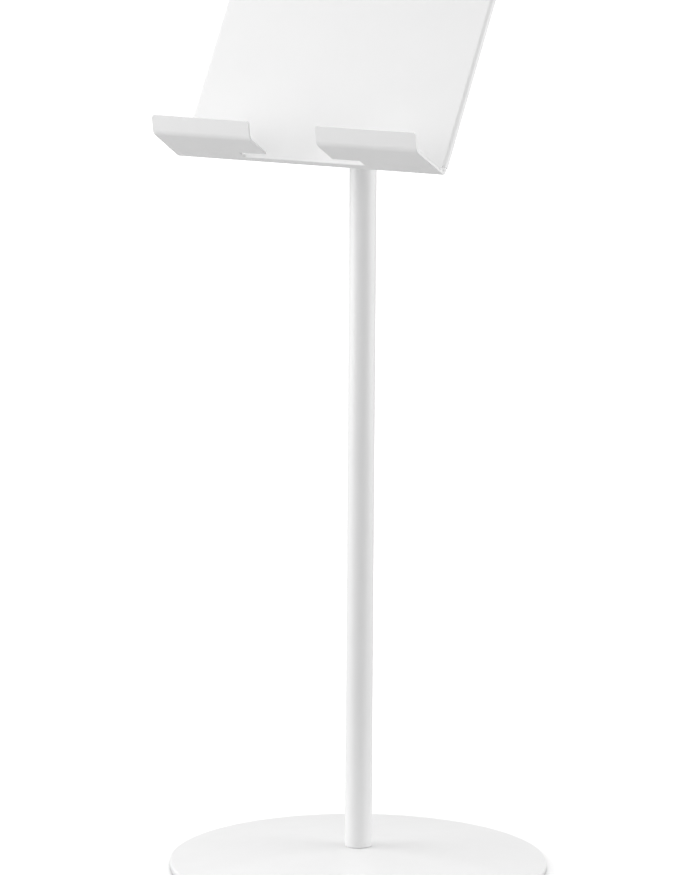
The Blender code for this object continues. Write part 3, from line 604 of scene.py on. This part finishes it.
joints = {joint["name"]: joint for joint in frame["joints"]}
pivot = Vector(joints["desk_tilt"]["pos_m"])
spindle_low, spindle_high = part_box("head_spindle")
spindle_radius = 0.008
groove_radius = 0.0065
groove_half = 0.0028
collar_radius = spindle_high.y
collar_low = bush_high.z + bush_play
collar_top = collar_low + 0.006
collar_edge = 0.0009
collar_bevel = 0.0004
spindle_bevel = 0.001
groove_low = grub_middle.z - groove_half
groove_high = grub_middle.z + groove_half
head_round = 0.0003
spindle_line = ([(spindle_radius - spindle_bevel, spindle_low.z),
                 (spindle_radius, spindle_low.z + spindle_bevel),
                 (spindle_radius, groove_low), (groove_radius, groove_low),
                 (groove_radius, groove_high), (spindle_radius, groove_high),
                 (spindle_radius, collar_low), (collar_radius - collar_bevel, collar_low),
                 (collar_radius, collar_low + collar_bevel)]
                + arc((collar_radius - collar_edge, collar_top - collar_edge), collar_edge, 0,
                      math.radians(90), 4))
head = turn_outline("swivel_head", spindle_line, sides=112, hollow=False)
tongue_radius = 0.012
tongue_half = 0.006
tongue_root = collar_low + 0.003
bolt_hole_radius = 0.0043
across = (0, math.radians(90), 0)
tongue = add_rod("tongue", tongue_radius, 2 * tongue_half, 96, pivot, across)
bpy.ops.object.transform_apply()
bpy.ops.object.mode_set(mode="EDIT")
take_whole_mesh()
bpy.ops.mesh.bisect(plane_co=pivot, plane_no=(0, 0, 1), clear_inner=True)
take_whole_mesh()
bpy.ops.mesh.region_to_loop()
bpy.ops.mesh.extrude_region_move(TRANSFORM_OT_translate={"value": (0, 0, tongue_root - pivot.z)})
bpy.ops.mesh.edge_face_add()
take_whole_mesh()
bpy.ops.mesh.normals_make_consistent(inside=False)
bpy.ops.object.mode_set(mode="OBJECT")
finish_modifier(head, "BOOLEAN", operation="UNION", solver="EXACT", object=tongue)
throw_away(tongue)
cut_away(head, add_rod("bolt_drill", bolt_hole_radius, 0.03, 64, pivot, across))
round_edges(head, head_round, 2, math.radians(50))
dress(head, zinc_bright, "head", "zinc_plated_steel", "head_spindle")


# ------------------------------------------------------------------ desk
# The desk is one laser-cut blank of 2.5 mm steel sheet. A press brake turns its sides back, folds the
# ledge forward and curls two lips up; the slot and the gap are cut first. It is coated all over.

page_rest = next(mount for mount in frame["record"]["mounts"] if mount["name"] == "page_rest")
lean = math.asin(page_rest["axis"][2])
desk_axis = Matrix.Translation(pivot) @ Matrix.Rotation(-lean, 4, "X")
desk_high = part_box("desk")[1]
sheet = 0.0025
plate_length = 0.340
fold_corner = -0.158
front = -0.028 - sheet
fold_bend = math.radians(87.5)
fold_inside = 0.002
lip_bend = math.radians(52.5)
lip_inside = 0.0065
ledge_depth = 0.0605
lip_height = 0.019
side_outside = 0.004
side_depth = 0.006
ledge_half = desk_high.x
lip_half = 0.151
side_bend = 0.152 - side_outside
gap_half = 0.038
slit_half = 0.0695
slit_near = 0.013
slit_far = 0.0245
lip_corner = 0.003
slit_corner = 0.0015
side_corner = 0.0018
desk_round = 0.0005
notch_top = fold_corner + 0.009
notch_low = fold_corner + 0.008
plate_top = fold_corner + plate_length
fold_setback = (fold_inside + sheet) * math.tan(fold_bend / 2)
lip_setback = (lip_inside + sheet) * math.tan(lip_bend / 2)
fold_start = fold_corner + fold_setback


merge_gap = 1e-6
same_place = 1e-5
past_bend = 1e-4


def pick(piece, kind, wanted):
    """Select, in edit mode, the corners, edges or faces whose middle passes the test."""
    modes = {"verts": "VERT", "edges": "EDGE", "faces": "FACE"}
    bpy.ops.mesh.select_mode(type=modes[kind])
    bpy.ops.mesh.select_all(action="DESELECT")
    mesh = bmesh.from_edit_mesh(piece.data)
    for item in getattr(mesh, kind):
        if kind == "verts":
            middle = item.co
        elif kind == "edges":
            middle = (item.verts[0].co + item.verts[1].co) / 2
        else:
            middle = item.calc_center_median()
        if wanted(middle, item):
            item.select_set(True)
    bmesh.update_edit_mesh(piece.data)


bpy.ops.object.select_all(action="DESELECT")
plate_middle = (fold_start + plate_top) / 2
bpy.ops.mesh.primitive_plane_add(size=1, location=(0, front, plate_middle),
                                 rotation=(math.radians(90), 0, 0))
desk = bpy.context.object
desk.name = "folded_desk"
desk.scale = (2 * side_bend, plate_top - fold_start, 1)
bpy.ops.object.transform_apply()
bpy.ops.object.mode_set(mode="EDIT")
for height in (notch_low, notch_top):
    take_whole_mesh()
    bpy.ops.mesh.bisect(plane_co=(0, front, height), plane_no=(0, 0, 1))

# Sides turned back above the notches
for side in (1, -1):
    pick(desk, "edges", lambda middle, edge: abs(middle.x - side * side_bend) < same_place
         and middle.z > notch_top and abs(edge.verts[0].co.x - edge.verts[1].co.x) < merge_gap)
    side_centre = (side * side_bend, front + side_outside, 0)
    bpy.ops.mesh.spin(steps=10, angle=-side * math.pi / 2, center=side_centre, axis=(0, 0, 1))
    bpy.ops.mesh.extrude_region_move(
        TRANSFORM_OT_translate={"value": (0, side_depth - side_outside, 0)})

# The foot of the plate runs out to the ledge's full width
for side in (1, -1):
    pick(desk, "edges", lambda middle, edge: abs(middle.x - side * side_bend) < same_place
         and middle.z < notch_low and abs(edge.verts[0].co.x - edge.verts[1].co.x) < merge_gap)
    bpy.ops.mesh.extrude_region_move(
        TRANSFORM_OT_translate={"value": (side * (ledge_half - side_bend), 0, 0)})

# Ledge folded forward, and the lip curled up
pick(desk, "edges", lambda middle, edge: abs(edge.verts[0].co.z - fold_start) < same_place
     and abs(edge.verts[1].co.z - fold_start) < same_place)
bpy.ops.mesh.spin(steps=12, angle=fold_bend, center=(0, front - fold_inside, fold_start), axis=(1, 0, 0))
ledge_way = Vector((0, -math.sin(fold_bend), -math.cos(fold_bend)))
ledge_up = Vector((0, -math.cos(fold_bend), math.sin(fold_bend)))
ledge_run = ledge_depth - fold_setback - lip_setback
bpy.ops.mesh.extrude_region_move(TRANSFORM_OT_translate={"value": ledge_way * ledge_run})
bpy.ops.transform.resize(value=(lip_half / ledge_half, 1, 1), center_override=(0, 0, 0))
fold_centre = Vector((0, front - fold_inside, fold_start))
ledge_end = fold_centre - ledge_up * fold_inside + ledge_way * ledge_run
lip_centre = ledge_end + ledge_up * lip_inside
bpy.ops.mesh.spin(steps=12, angle=lip_bend, center=lip_centre, axis=(1, 0, 0))
lip_turn = fold_bend + lip_bend
lip_way = Vector((0, -math.sin(lip_turn), -math.cos(lip_turn)))
bpy.ops.mesh.extrude_region_move(
    TRANSFORM_OT_translate={"value": lip_way * (lip_height - lip_setback)})
take_whole_mesh()
bpy.ops.mesh.remove_doubles(threshold=1e-6)

# The T-shaped opening: a gap between the lips, and a slit along the ledge
ledge_zero = fold_centre - ledge_up * fold_inside - ledge_way * fold_setback


def depth_of(point):
    return (point - ledge_zero).dot(ledge_way)


for offset in (-slit_half, -gap_half, gap_half, slit_half):
    pick(desk, "faces", lambda middle, face: depth_of(middle) > fold_setback + past_bend)
    bpy.ops.mesh.bisect(plane_co=(offset, 0, 0), plane_no=(1, 0, 0))
for depth in (slit_near, slit_far):
    pick(desk, "faces", lambda middle, face: depth_of(middle) > fold_setback + past_bend)
    bpy.ops.mesh.bisect(plane_co=ledge_zero + ledge_way * depth, plane_no=ledge_way)
pick(desk, "faces", lambda middle, face: (abs(middle.x) < gap_half and depth_of(middle) > slit_far)
     or (abs(middle.x) < slit_half and slit_near < depth_of(middle) < slit_far))
bpy.ops.mesh.delete(type="FACE")
bpy.ops.mesh.select_mode(type="FACE")
take_whole_mesh()
bpy.ops.mesh.dissolve_limited(angle_limit=math.radians(0.5))

# Corners of the blank are cut round
lip_end = lip_way * (lip_height - lip_setback)


def near(value, target):
    return abs(value - target) < 2e-4


lip_top = lip_centre - Vector((0, -math.cos(lip_turn), math.sin(lip_turn))) * lip_inside + lip_end
pick(desk, "verts", lambda point, vert: near(point.z, lip_top.z) and near(point.y, lip_top.y))
bpy.ops.mesh.bevel(offset=lip_corner, segments=6, affect="VERTICES")
pick(desk, "verts", lambda point, vert: (point - ledge_zero).dot(ledge_up) < same_place
     and (near(depth_of(point), slit_near) or near(depth_of(point), slit_far))
     and abs(point.x) < slit_half + past_bend)
bpy.ops.mesh.bevel(offset=slit_corner, segments=5, affect="VERTICES")
pick(desk, "verts", lambda point, vert: near(point.z, plate_top) and near(point.y, front + side_depth))
bpy.ops.mesh.bevel(offset=side_corner, segments=5, affect="VERTICES")
bpy.ops.mesh.select_mode(type="FACE")
take_whole_mesh()
bpy.ops.mesh.normals_make_consistent(inside=False)
bpy.ops.object.mode_set(mode="OBJECT")
largest = max(desk.data.polygons, key=lambda polygon: polygon.area)
if largest.normal.y > 0:
    desk.data.flip_normals()
finish_modifier(desk, "SOLIDIFY", thickness=sheet, offset=-1, use_even_offset=True,
                use_quality_normals=True)
round_edges(desk, desk_round, 3, math.radians(50))
place_piece(desk, desk_axis)
dress(desk, powder_coat, "desk", "white_powder_coat", "desk")


# ------------------------------------------------------------------ hinge brackets
# Two angle brackets of 3 mm steel, bent and coated like the desk, stand off the plate's back.
# Each has two holes for weld studs in its flange and a round ear for the tilt bolt.

def soften_node(node, name, width, material, body, slot):
    """A piece with the CAD node's own shape: merged, its flat faces joined, its edges broken."""
    source = frame["nodes"][node]
    piece = source.copy()
    piece.data = source.data.copy()
    piece.name = name
    piece.parent = None
    for key in list(piece.keys()):
        del piece[key]
    bpy.context.scene.collection.objects.link(piece)
    select_only(piece)
    bpy.ops.object.mode_set(mode="EDIT")
    take_whole_mesh()
    bpy.ops.mesh.remove_doubles(threshold=1e-6)
    take_whole_mesh()
    bpy.ops.mesh.dissolve_limited(angle_limit=math.radians(1))
    bpy.ops.object.mode_set(mode="OBJECT")
    round_edges(piece, width, 2, math.radians(50))
    dress(piece, material, body, slot, node)
    return piece


bracket_round = 0.0004
for side in ("left", "right"):
    soften_node(f"hinge_bracket_{side}", f"angle_bracket_{side}", bracket_round, powder_coat, "desk",
                "white_powder_coat")


# ------------------------------------------------------------------ tilt hinge
# A hexagon bolt goes through both ears and the tongue, with nylon friction washers between them.
# Plain washers, two disc springs and a self-locking nut keep the pinch that holds any angle.

to_side = Matrix.Rotation(math.radians(90), 4, "Y")


def hexagon_body(name, flats, low, high, chamfer_ends):
    """Hexagon bar cut off between two heights, its corners taken down by a turned chamfer."""
    across_corners = flats / math.cos(math.radians(30))
    hexagon = add_rod(name, across_corners / 2, high - low, 6, (0, 0, (low + high) / 2))
    bpy.ops.object.transform_apply()
    face_width = 0.96 * flats
    drop = (across_corners - face_width) / 2 * math.tan(math.radians(30))
    face_radius = face_width / 2
    low_edge = low + drop if "low" in chamfer_ends else low
    high_edge = high - drop if "high" in chamfer_ends else high
    wide = across_corners / 2 + 1e-4
    barrel_line = [(face_radius if "low" in chamfer_ends else wide, low - 1e-5), (wide, low_edge),
                   (wide, high_edge), (face_radius if "high" in chamfer_ends else wide, high + 1e-5)]
    barrel = turn_outline("chamfer_barrel", barrel_line, sides=96, hollow=False)
    finish_modifier(hexagon, "BOOLEAN", operation="INTERSECT", solver="EXACT", object=barrel)
    throw_away(barrel)
    return hexagon


thread, thread_in, thread_out = new_group(
    "rolled_thread", [("Place", "NodeSocketVector", None), ("Turns per metre", "NodeSocketFloat", 800.0)],
    [("Height", "NodeSocketFloat")])
thread_parts = add_node(thread, "SeparateXYZ")
thread_angle = add_node(thread, "Math", operation="ARCTAN2")
thread_turn = add_node(thread, "Math", operation="DIVIDE", inputs={1: math.tau})
thread_rise = add_node(thread, "Math", operation="MULTIPLY")
thread_sum = add_node(thread, "Math", operation="ADD")
thread_wave = add_node(thread, "Math", operation="PINGPONG", inputs={1: 0.5})
thread.links.new(thread_in.outputs["Place"], thread_parts.inputs[0])
thread.links.new(thread_parts.outputs["Y"], thread_angle.inputs[0])
thread.links.new(thread_parts.outputs["X"], thread_angle.inputs[1])
thread.links.new(thread_angle.outputs[0], thread_turn.inputs[0])
thread.links.new(thread_parts.outputs["Z"], thread_rise.inputs[0])
thread.links.new(thread_in.outputs["Turns per metre"], thread_rise.inputs[1])
thread.links.new(thread_turn.outputs[0], thread_sum.inputs[0])
thread.links.new(thread_rise.outputs[0], thread_sum.inputs[1])
thread.links.new(thread_sum.outputs[0], thread_wave.inputs[0])
thread.links.new(thread_wave.outputs[0], thread_out.inputs["Height"])


crest_clear = (0.62, 0.615, 0.59, 1)
crest_tinted = (0.50, 0.515, 0.54, 1)
thread_root_painted_shade = (0.30, 0.30, 0.295, 1)
thread_depth = 0.0005
bolt_thread_turns = 800.0


def threaded_zinc(name, middle, axis_turn, turns):
    """Zinc on a rolled thread whose axis runs through middle; axis_turn brings that axis to Z."""
    material, tree, shader = new_material(name)
    place = add_node(tree, "TexCoord")
    centre = add_node(tree, "Mapping", vector_type="POINT")
    turned_middle = -(axis_turn @ Vector(middle))
    centre.inputs["Location"].default_value = turned_middle
    centre.inputs["Rotation"].default_value = axis_turn.to_euler()
    tree.links.new(place.outputs["Object"], centre.inputs["Vector"])
    ridges = use_group(tree, thread, Turns_per_metre=turns)
    tree.links.new(centre.outputs["Vector"], ridges.inputs["Place"])
    grain_node = use_group(tree, grain, Grains_per_metre=grain_size)
    metal = blend_colours(tree, spread(tree, grain_node.outputs["Cloud"], 0, 1), crest_clear,
                          crest_tinted)
    # The thread's roots are painted darker grey: painted shade in grooves that the bump only suggests
    ridge_mask = spread(tree, ridges.outputs["Height"], 0, 1, 0.0, 0.5)
    metal = blend_colours(tree, ridge_mask, thread_root_painted_shade, metal)
    tree.links.new(metal, shader.inputs["Base Color"])
    tree.links.new(spread(tree, grain_node.outputs["Scratch"], 0.26, 0.42), shader.inputs["Roughness"])
    shader.inputs["Metallic"].default_value = 1.0
    raise_bumps(tree, shader, ridges.outputs["Height"], thread_depth, 1.0)
    return material


bolt_low, bolt_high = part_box("tilt_bolt")
bolt_radius = 0.004
bolt_flats = 0.013
bolt_head = 0.0053
bolt_length = bolt_high.x - bolt_low.x - bolt_head
hexagon_round = 0.00015
washer_face = 0.0060
face_height = 0.0003
shank_bevel = 0.0007
bolt = hexagon_body("hex_bolt", bolt_flats, face_height, bolt_head, ("high",))
shank_line = [(washer_face, face_height), (washer_face, 0.0), (bolt_radius, 0.0),
              (bolt_radius, -bolt_length + shank_bevel), (bolt_radius - shank_bevel, -bolt_length)]
shank = turn_outline("hex_bolt_shank", shank_line, sides=96, hollow=False)
shank_place = Matrix.Translation((bolt_high.x - bolt_head, pivot.y, pivot.z)) @ to_side
round_edges(bolt, hexagon_round, 2, math.radians(25))
smooth(shank)
place_piece(bolt, shank_place)
place_piece(shank, shank_place)
dress(bolt, zinc_bright, "desk", "zinc_plated_steel", "tilt_bolt")
tilt_thread = threaded_zinc("zinc_plated_thread_tilt", pivot,
                            Matrix.Rotation(math.radians(-90), 3, "Y"), bolt_thread_turns)
dress(shank, tilt_thread, "desk", "zinc_plated_steel", "tilt_bolt")

nut_low, nut_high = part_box("tilt_nut")
nut_height = nut_high.x - nut_low.x
thread_play = 0.00005
hex_height = 0.0062
collar_bore = bolt_radius + 0.0004
collar_outside = 0.0058
collar_round = 0.001
nut = hexagon_body("lock_nut", bolt_flats, 0, hex_height, ("low",))
cut_away(nut, add_rod("nut_drill", bolt_radius + thread_play, 0.03, 64, (0, 0, 0)))
round_edges(nut, hexagon_round, 2, math.radians(25))
insert_line = ([(collar_bore, hex_height - 0.0001), (collar_outside, hex_height - 0.0001)]
               + arc((collar_outside - collar_round, nut_height - collar_round), collar_round, 0,
                     math.radians(90), 4)
               + [(collar_bore, nut_height)])
nut_collar = turn_outline("lock_nut_collar", insert_line, sides=96)
smooth(nut_collar)
to_other_side = Matrix.Rotation(math.radians(-90), 4, "Y")
nut_place = Matrix.Translation((nut_high.x, pivot.y, pivot.z)) @ to_other_side
place_piece(nut, nut_place)
place_piece(nut_collar, nut_place)
dress(nut, zinc_bright, "desk", "zinc_plated_steel", "tilt_nut")
dress(nut_collar, zinc_bright, "desk", "zinc_plated_steel", "tilt_nut")


def washer(name, inner, outer, thickness, edge):
    """Flat stamped washer about the origin, its outer corners rounded by the punch."""
    half = thickness / 2
    line = ([(inner, -half), (outer - edge, -half)]
            + arc((outer - edge, -half + edge), edge, math.radians(-90), 0, 3)
            + arc((outer - edge, half - edge), edge, 0, math.radians(90), 3) + [(inner, half)])
    piece = turn_outline(name, line, sides=96)
    smooth(piece)
    return piece


friction = washer("friction_disc", bolt_hole_radius, 0.0115, 0.0015, 0.0002)
plain = washer("plain_washer", bolt_hole_radius, 0.008, 0.0016, 0.0003)
for side in ("left", "right"):
    node = f"friction_washer_{side}"
    disc = copy_to(friction, f"friction_disc_{side}", Matrix.Translation(middle_of(node)) @ to_side)
    dress(disc, nylon, "desk", "natural_nylon", node)
    node = f"tilt_washer_{side}"
    disc = copy_to(plain, f"plain_washer_{side}", Matrix.Translation(middle_of(node)) @ to_side)
    dress(disc, zinc_bright, "desk", "zinc_plated_steel", node)
throw_away(friction)
throw_away(plain)

spring_cone = 0.0005
spring_sheet = 0.0008
spring_radius = 0.0078
spring_edge = 0.0001
spring_line = [(bolt_hole_radius, 0), (spring_radius - spring_edge, spring_cone),
               (spring_radius, spring_cone + spring_edge),
               (spring_radius, spring_cone + spring_sheet - spring_edge),
               (spring_radius - spring_edge, spring_cone + spring_sheet),
               (bolt_hole_radius, spring_sheet)]
spring = turn_outline("disc_spring", spring_line, sides=96)
smooth(spring)
for index in (1, 2):
    node = f"tilt_disc_spring_{index}"
    spring_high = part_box(node)[1]
    disc = copy_to(spring, f"disc_spring_{index}",
                   Matrix.Translation((spring_high.x, pivot.y, pivot.z)) @ to_other_side)
    dress(disc, zinc_sheet, "desk", "zinc_plated_steel", node)
throw_away(spring)


# ------------------------------------------------------------------ weld studs, washers and nuts
# Four threaded studs are welded to the plate's back before coating. Each bracket is pulled down on
# two of them with a plain washer and a hexagon nut.

stud_turn = desk_axis.to_3x3() @ Matrix.Rotation(math.radians(-90), 3, "X")
stud_radius = 0.0025
stud_length = 0.011
stud_bevel = 0.0005
stud_nut_flats = 0.008
stud_thread_turns = 1250.0
nut_turn = 0.35
small_nut_round = 0.0001
stud_line = [(stud_radius, -stud_length / 2), (stud_radius, stud_length / 2 - stud_bevel),
             (stud_radius - stud_bevel, stud_length / 2)]
stud_shape = turn_outline("stud_shape", stud_line, sides=64, hollow=False)
smooth(stud_shape)
small_washer = washer("small_washer", 0.0027, 0.005, 0.001, 0.0002)
small_nut = hexagon_body("small_nut", stud_nut_flats, -0.002, 0.002, ("low", "high"))
cut_away(small_nut, add_rod("nut_drill", stud_radius + thread_play, 0.02, 64, (0, 0, 0)))
round_edges(small_nut, small_nut_round, 2, math.radians(25))
for index in range(1, 5):
    for shape, name, node in ((small_washer, "stud_plain_washer", "stud_washer"),
                              (small_nut, "stud_hex_nut", "stud_nut")):
        node = f"{node}_{index}"
        place = Matrix.Translation(middle_of(node)) @ stud_turn.to_4x4()
        if name == "stud_hex_nut":
            place = place @ Matrix.Rotation(nut_turn * index, 4, "Z")
        piece = copy_to(shape, f"{name}_{index}", place)
        dress(piece, zinc_bright, "desk", "zinc_plated_steel", node)
    node = f"desk_stud_{index}"
    middle = middle_of(node)
    stud = copy_to(stud_shape, f"weld_stud_{index}", Matrix.Translation(middle) @ stud_turn.to_4x4())
    stud_thread = threaded_zinc(f"zinc_plated_thread_{index}", middle, stud_turn.transposed(),
                                stud_thread_turns)
    dress(stud, stud_thread, "desk", "zinc_plated_steel", node)
for shape in (stud_shape, small_washer, small_nut):
    throw_away(shape)


# ------------------------------------------------------------------ room
# The stand is shown on a wide pale floor that runs into a white room. Soft boxes stand to the left
# and right and hang overhead, with less light coming from the camera's side.

floor_material, tree, shader = new_material("pale_floor")
floor_seen = add_node(tree, "LightPath")
floor_reach = add_node(tree, "VectorMath", operation="LENGTH")
floor_glow = add_node(tree, "MapRange", interpolation_type="SMOOTHSTEP",
                      inputs={"From Min": 0.3, "From Max": 1.1})
glow_seen = add_node(tree, "Math", operation="MULTIPLY")
tree.links.new(floor_reach.outputs["Value"], floor_glow.inputs["Value"])
tree.links.new(floor_glow.outputs["Result"], glow_seen.inputs[0])
tree.links.new(floor_seen.outputs["Is Camera Ray"], glow_seen.inputs[1])
no_glow = (0, 0, 0, 1)
full_glow = (0.9, 0.9, 0.9, 1)
glow = blend_colours(tree, glow_seen.outputs[0], no_glow, full_glow)
tree.links.new(glow, shader.inputs["Emission Color"])
shader.inputs["Emission Strength"].default_value = 1.0
floor_place = add_node(tree, "TexCoord")
floor_cloud = add_noise(tree, floor_place, 4.0, 0.5, 2.0)
tree.links.new(floor_place.outputs["Object"], floor_reach.inputs[0])
floor_dim = (0.93, 0.93, 0.93, 1)
floor_pale = (0.95, 0.95, 0.95, 1)
floor_bounce = (0.5, 0.5, 0.5, 1)
pale = blend_colours(tree, floor_cloud.outputs["Fac"], floor_dim, floor_pale)
pale = blend_colours(tree, floor_seen.outputs["Is Camera Ray"], floor_bounce, pale)
tree.links.new(pale, shader.inputs["Base Color"])
shader.inputs["Roughness"].default_value = 0.9
shader.inputs["Specular IOR Level"].default_value = 0.0
bpy.ops.object.select_all(action="DESELECT")
floor_radius = 30
bpy.ops.mesh.primitive_circle_add(vertices=96, radius=floor_radius, fill_type="NGON", location=(0, 0, 0))
floor = bpy.context.object
floor.name = "floor"
floor.data.materials.append(floor_material)

view_side = math.radians(30)
camera_right = Vector((math.cos(view_side), math.sin(view_side), 0))
camera_back = Vector((math.sin(view_side), -math.cos(view_side), 0))


def soft_box(name, place, target, width, height, power):
    light = bpy.data.lights.new(name, "AREA")
    light.shape = "RECTANGLE"
    light.size = width
    light.size_y = height
    light.energy = power
    lamp = bpy.data.objects.new(name, light)
    aim = (Vector(target) - Vector(place)).to_track_quat("-Z", "Y").to_matrix().to_4x4()
    lamp.matrix_world = Matrix.Translation(place) @ aim
    bpy.context.scene.collection.objects.link(lamp)


side_distance = 2.6
side_lift = camera_back * 0.1 + Vector((0, 0, 1.3))
post_middle = (0, 0, 0.6)
top_place = camera_back * -1.5 + Vector((0, 0, 8.0))
front_place = camera_back * 3.2 + camera_right * -1.4 + Vector((0, 0, 1.2))
soft_box("left_box", camera_right * -side_distance + side_lift, post_middle, 2.4, 2.6, 58)
soft_box("right_box", camera_right * side_distance + side_lift, post_middle, 2.4, 2.6, 46)
soft_box("top_box", top_place, (0, 0, 0), 8.0, 8.0, 278)
soft_box("front_box", front_place, post_middle, 2.0, 2.0, 12.5)

world = bpy.data.worlds.new("white_room")
world.use_nodes = True
bpy.context.scene.world = world
sky = world.node_tree
backdrop = sky.nodes["Background"]
backdrop.inputs["Color"].default_value = (1, 1, 1, 1)
backdrop.inputs["Strength"].default_value = 1.05
fill = sky.nodes.new("ShaderNodeBackground")
fill.inputs["Color"].default_value = (1, 1, 1, 1)
fill.inputs["Strength"].default_value = 0.5
room_seen = sky.nodes.new("ShaderNodeLightPath")
room_mix = sky.nodes.new("ShaderNodeMixShader")
sky.links.new(room_seen.outputs["Is Camera Ray"], room_mix.inputs[0])
sky.links.new(fill.outputs[0], room_mix.inputs[1])
sky.links.new(backdrop.outputs[0], room_mix.inputs[2])
sky.links.new(room_mix.outputs[0], sky.nodes["World Output"].inputs["Surface"])
bpy.context.scene.view_settings.view_transform = "Standard"
bpy.context.scene.view_settings.look = "None"

camera_distance = 4.9445
camera_height = 1.2907
camera_pitch = math.radians(9.64)
camera_yaw = math.radians(0.1323)
camera_roll = math.radians(0.39)
lens = bpy.data.cameras.new("camera")
sensor_size = 36
focal_in_heights = 4915.2 / 875
lens.lens = focal_in_heights * sensor_size
lens.sensor_width = sensor_size
camera = bpy.data.objects.new("camera", lens)
camera.matrix_world = (Matrix.Translation(camera_back * camera_distance + Vector((0, 0, camera_height)))
                       @ Matrix.Rotation(view_side + camera_yaw, 4, "Z")
                       @ Matrix.Rotation(math.radians(90) - camera_pitch, 4, "X")
                       @ Matrix.Rotation(camera_roll, 4, "Z"))
bpy.context.scene.collection.objects.link(camera)
bpy.context.scene.camera = camera
